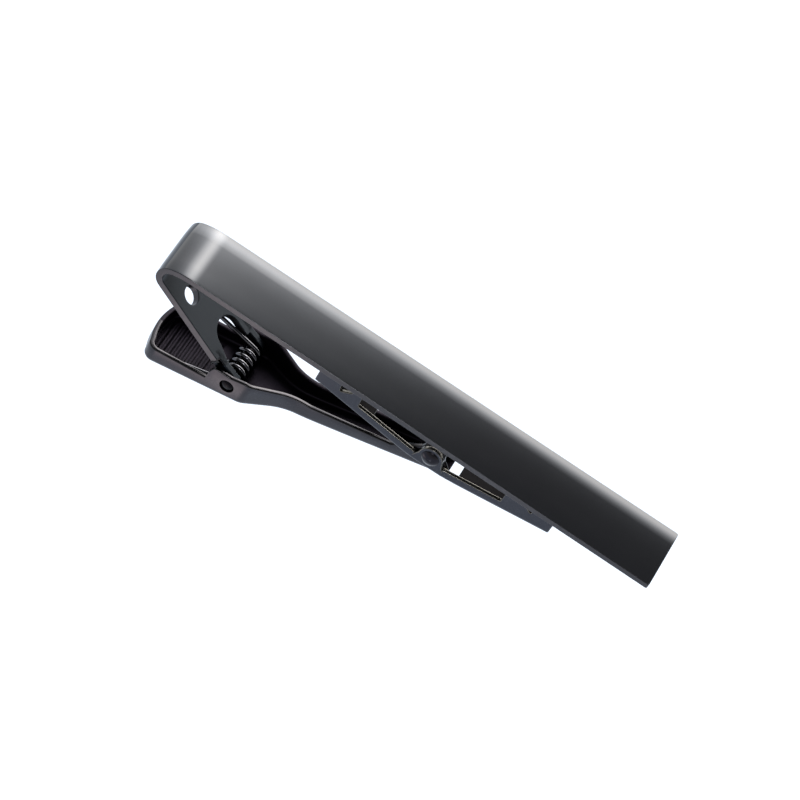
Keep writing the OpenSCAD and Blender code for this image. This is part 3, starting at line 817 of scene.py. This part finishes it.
def domePoints(radius, height, top, rim, steps):
    # half of a dome's outline, from its top to the rim
    sphere = (radius * radius + height * height) / (2 * height)
    widest = asin((radius - rim) / sphere)
    angles = [widest * k / steps for k in range(steps + 1)]
    return [(sphere * sin(a), top - sphere + sphere * cos(a)) for a in angles]


def turnPiece(name, profile, at, material, body, node):
    # the profile's half is mirrored, and the piece is turned from it
    profile = profile + [(radius, -y) for radius, y in reversed(profile[:-1])]
    mesh = cutAndSoften(lathe(name, profile, 64, at))
    mesh.materials.append(material)
    addPiece(name, mesh, body, "gunmetal_pins", node)


def makePin():
    half, r, dome = pin["length"] / 2, pin["radius"], pin["dome"]
    profile = domePoints(r, dome, half, pin["rim"], 8)
    profile += [(r - inwards, half - dome - down) for inwards, down in pin["edge"]] + [(r, 0)]
    turnPiece("pivotPin", profile, (pivotX, 0, pivotZ), blackenedPin, "bar", "pivot_pin")


def makeRivet():
    r, seat = rivet["head"], foot["width"] / 2 + rivet["gap"]
    profile = domePoints(r, rivet["height"], seat + rivet["height"], rivet["rim"], 12)
    brink = profile[-1][1]
    profile += [(r - inwards, brink - down) for inwards, down in rivet["edge"]]
    profile += [(r - inwards, seat + up) for inwards, up in rivet["under"]]
    profile += [(rivet["shank"], seat), (rivet["shank"], 0)]
    turnPiece("footRivet", profile, (rivetX, 0, rivetZ), turnedBlackNickel, "lever", "foot_rivet")


makePin()
makeRivet()


# torsion spring: wound round the pin, one end in the pad, the other under the return leg

spring = {
    "wire": 0.46, "radius": 1.1, "near": -2.17, "far": 1.57, "turns": 4, "padTail": 5.6, "legTail": 1.2,
    "tailGap": 0.05, "padTailSpread": 0.5,  # the pad's end runs outwards a little
    "sides": 14, "stepAngle": 10, "tailSteps": 8,
    "blendInset": 0.2,  # how far inside the coil a blend between lever and bar is meant to start
}


def springPath():
    r = spring["radius"]
    startTurn = radians(lever["padAngle"] - 90)
    slot, outside = bar["slotWidth"] / 2, spring["far"] + spring["wire"] / 2
    # the leg's end leaves through the slot, where its round end is just wide enough
    passS = bar["legLength"] - bar["slotLength"] + slot - sqrt(slot ** 2 - outside ** 2)
    slotEnd = legPoint(passS, bar["foldRadius"] + spring["wire"] / 2 + spring["tailGap"])
    dx, dz = slotEnd[0] - pivotX, slotEnd[1] - pivotZ
    reach = sqrt(dx * dx + dz * dz - r * r)
    endTurn = atan2(dz, dx) - atan2(reach, r)
    sweep = 2 * pi * spring["turns"] + endTurn - startTurn
    steps, pitch = int(sweep / radians(spring["stepAngle"])), spring["far"] - spring["near"]
    coil = []
    for i in range(steps + 1):
        a = startTurn + sweep * i / steps
        coil.append(Vector((pivotX + r * cos(a), spring["near"] + pitch * i / steps, pivotZ + r * sin(a))))
    first, last = coil[0], coil[-1]
    out = Vector((cos(startTurn - pi / 2), 0, sin(startTurn - pi / 2)))
    away = Vector((cos(endTurn + pi / 2), 0, sin(endTurn + pi / 2)))
    padEnd = out * spring["padTail"] - Vector((0, spring["padTailSpread"], 0))
    legEnd = away * (reach + spring["legTail"])
    tail = [k / spring["tailSteps"] for k in range(1, spring["tailSteps"] + 1)]
    return [first + padEnd * share for share in reversed(tail)] + coil + [last + legEnd * share for share in tail]


def makeSpring():
    path, sides = springPath(), spring["sides"]
    points, faces = [], []
    for i, at in enumerate(path):
        ahead = (path[min(i + 1, len(path) - 1)] - path[max(i - 1, 0)]).normalized()
        a = ahead.cross(Vector((0, 1, 0))).normalized()
        b = ahead.cross(a)
        for k in range(sides):
            turn = 2 * pi * k / sides
            points.append((at + (a * cos(turn) + b * sin(turn)) * spring["wire"] / 2) * mm)
    for ring in range(0, len(points) - sides, sides):
        for k in range(sides):
            side = (k + 1) % sides
            faces.append([ring + k, ring + sides + k, ring + sides + side, ring + side])
    faces.append(list(range(sides)))
    faces.append([len(points) - sides + k for k in range(sides)][::-1])
    mesh = bpy.data.meshes.new("torsionSpring")
    mesh.from_pydata(points, [], faces)
    faceOutwards(mesh)
    mesh = cutAndSoften(mesh, sharp=50)
    mesh.materials.append(drawnSpringWire)
    piece = addPiece("torsionSpring", mesh, None, "spring_wire", "torsion_spring")
    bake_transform(piece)


makeSpring()


# stage and lights

stage = {
    "floorZ": -24.5, "floorSide": 1200.0,  # low enough for the open lever
    # opal acrylic light table: it stays clear white, as in the photograph
    "floorColour": "#5a5a5a", "floorRoughness": 0.9, "floorGlow": (1.0, 1.1, 1.25),
    # painted pools of light in the floor's glow, as if from lamps under the table's sheet: place, radius, colour,
    # strength
    "paintedPools": [
        ((-19, -25.2), (13, 13), "#ffe9e2", 2.6), ((-26, -21.4), (7.5, 7.5), "#ffe9e2", 2.9),
        ((-17.6, -15.8), (4.0, 4.0), "#ffeee8", 6.0), ((-23, -11.7), (7, 2.4), "#eceaf0", 0.9),
        ((-2.5, -13.4), (7.5, 3), "#d8f0ff", 1.6), ((9.8, -38.4), (4.5, 4.5), "#ffffff", 28.0),
    ],
    "lamps": [
        # name, place, aim, width, height, radiance, colour
        ("nearSpot", (-30, -219, 189), (-10, 0, -6), 60, 60, 12.0, "#ffffff"),
        ("longStrip", (20, -226, 197), (20, 0, 0), 130, 12, 9.0, "#ffffff"),
    ],
    # the room's brightness from the horizon up
    "room": [(0, "#ffffff"), (0.2, "#ffffff"), (0.32, "#d2d5d8"), (0.55, "#a0a1a4"), (0.66, "#8e9094"),
             (0.8, "#94969c"), (1, "#94969c")],
    # softboxes beyond the far edge: strength, how bright from left to right, and from overhead to straight beyond
    "boxes": [
        # long one, low
        (8.0, [(-0.9, 0), (-0.7, 0.2), (-0.4, 0.5), (-0.15, 1), (0.6, 1), (0.75, 0)],
         [(0.66, 0), (0.668, 0.012), (0.672, 0.03), (0.678, 0.06), (0.702, 0.12), (0.727, 0.26), (0.75, 0.46),
          (0.7725, 0.74), (0.7945, 1), (0.9, 1), (1, 0.6)]),
        # tall one off the fold, feathered to the right
        (11.0, [(-0.9, 0.09), (-0.79, 0.11), (-0.6, 0.14), (-0.49, 0.155), (-0.40, 0.20), (-0.309, 0.29),
                (-0.263, 0.42), (-0.183, 0.76), (-0.14, 0.97), (-0.121, 1), (-0.10, 0.95), (-0.078, 0.75),
                (-0.0545, 0.31), (-0.0495, 0.145), (-0.046, 0.115), (-0.0253, 0.07), (-0.008, 0.03),
                (0.013, 0.004), (0.034, 0)],
         [(0.42, 0), (0.5, 0.8), (0.65, 1), (0.75, 1), (0.95, 0)]),
        # where the two meet
        (4.2, [(-0.85, 0), (-0.65, 0.3), (-0.3, 0.55), (-0.18, 0.36), (-0.12, 0), (-0.0545, 0.7), (-0.0495, 0.83),
               (-0.038, 1), (-0.0253, 0.62), (-0.008, 0.31), (0.013, 0.1), (0.03, 0)],
         [(0.655, 0), (0.663, 0.1), (0.668, 0.25), (0.6715, 0.4), (0.678, 0.65), (0.70, 1), (0.75, 1), (0.77, 0.8),
          (0.79, 0.4), (0.82, 0)]),
    ],
}


def softboxColour(level):
    # a softbox is a little cooler where its light falls off
    return (level * (0.97 + 0.05 * level), level, level * (1.04 - 0.065 * level), 1)


def makeFloor():
    side, z = stage["floorSide"] * mm, stage["floorZ"] * mm
    mesh = bpy.data.meshes.new("floor")
    mesh.from_pydata([(-side, -side, z), (side, -side, z), (side, side, z), (-side, side, z)], [], [(0, 1, 2, 3)])
    addObject("floor", mesh)
    opal = bpy.data.materials.new("opalAcrylicPaintedPools")
    opal.use_nodes = True
    tree = opal.node_tree
    shader = tree.nodes["Principled BSDF"]
    shader.inputs["Base Color"].default_value = hexColour(stage["floorColour"])
    shader.inputs["Roughness"].default_value = stage["floorRoughness"]
    shader.inputs["Specular IOR Level"].default_value = 0.0
    place = addNode(tree, "ShaderNodeTexCoord").outputs["Object"]
    glow = None
    # each pool is painted light: a soft brighter spot added to the floor's even glow
    for (atX, atY), (radiusX, radiusY), colour, strength in stage["paintedPools"]:
        scale = (1 / (radiusX * mm), 1 / (radiusY * mm), 1 / (radiusX * mm))
        local = addNode(tree, "ShaderNodeMapping",
                        {"Location": (-atX / radiusX, -atY / radiusY, -z * scale[2]), "Scale": scale},
                        Vector=place).outputs[0]
        fall = addNode(tree, "ShaderNodeTexGradient", {"gradient_type": "SPHERICAL"}, Vector=local).outputs["Fac"]
        soft = addNode(tree, "ShaderNodeMapRange", {"interpolation_type": "SMOOTHSTEP", "To Max": strength},
                       Value=fall).outputs[0]
        pool = addNode(tree, "ShaderNodeVectorMath", {"operation": "SCALE", "0": hexColour(colour)[:3]},
                       Scale=soft).outputs[0]
        fed = {"i0": pool} if glow is None else {"i0": glow, "i1": pool}
        glow = addNode(tree, "ShaderNodeVectorMath", {"operation": "ADD", "1": stage["floorGlow"]},
                       **fed).outputs[0]
    tree.links.new(glow, shader.inputs["Emission Color"])
    shader.inputs["Emission Strength"].default_value = 1.0
    mesh.materials.append(opal)


def makeLamps():
    for name, place, aim, width, height, radiance, colour in stage["lamps"]:
        lamp = bpy.data.lights.new(name, "AREA")
        lamp.shape, lamp.size, lamp.size_y = "RECTANGLE", width * mm, height * mm
        lamp.energy = radiance * pi * width * height * mm * mm
        lamp.color = hexColour(colour)[:3]
        holder = addObject(name, lamp)
        holder.location = Vector(place) * mm
        holder.rotation_euler = (Vector(aim) - Vector(place)).to_track_quat("-Z", "Y").to_euler()


def makeWorld():
    # a softbox is a ramp from left to right times one towards straight beyond, and the room is one upwards
    world = bpy.data.worlds.new("studio")
    bpy.context.scene.world = world
    world.use_nodes = True
    tree = world.node_tree
    direction = addNode(tree, "ShaderNodeTexCoord").outputs["Generated"]
    x, y, z = addNode(tree, "ShaderNodeSeparateXYZ", Vector=direction).outputs
    across = addNode(tree, "ShaderNodeMapRange", {"From Min": -1.0, "From Max": 1.0}, Value=x).outputs[0]
    total = None
    for strength, sides, beyond in [(1, [(0, 1)], stage["room"]), *stage["boxes"]]:
        fromLeft = [((at + 1) / 2, level) for at, level in sides]
        light = None
        for way, stops in ((across, fromLeft), (z if total is None else y, beyond)):
            ramp = addNode(tree, "ShaderNodeValToRGB", Fac=way)
            marks = ramp.color_ramp.elements
            while len(marks) < len(stops):
                marks.new(0.5)
            while len(marks) > len(stops):
                marks.remove(marks[-1])
            for mark, (at, level) in zip(marks, stops):
                mark.position = at
                mark.color = hexColour(level) if isinstance(level, str) else softboxColour(level)
            light = ramp.outputs[0] if light is None else addNode(
                tree, "ShaderNodeVectorMath", {"operation": "MULTIPLY"}, i0=light, i1=ramp.outputs[0]).outputs[0]
        light = addNode(tree, "ShaderNodeVectorMath", {"operation": "SCALE", "Scale": strength},
                        i0=light).outputs[0]
        total = light if total is None else addNode(
            tree, "ShaderNodeVectorMath", {"operation": "ADD"}, i0=total, i1=light).outputs[0]
    tree.links.new(total, tree.nodes["Background"].inputs["Color"])
    tree.nodes["Background"].inputs["Strength"].default_value = 1.0
    bpy.context.scene.view_settings.view_transform = "Standard"


makeFloor()
makeLamps()
makeWorld()
print("stage, lamps and world made")

bpy.context.view_layer.update()
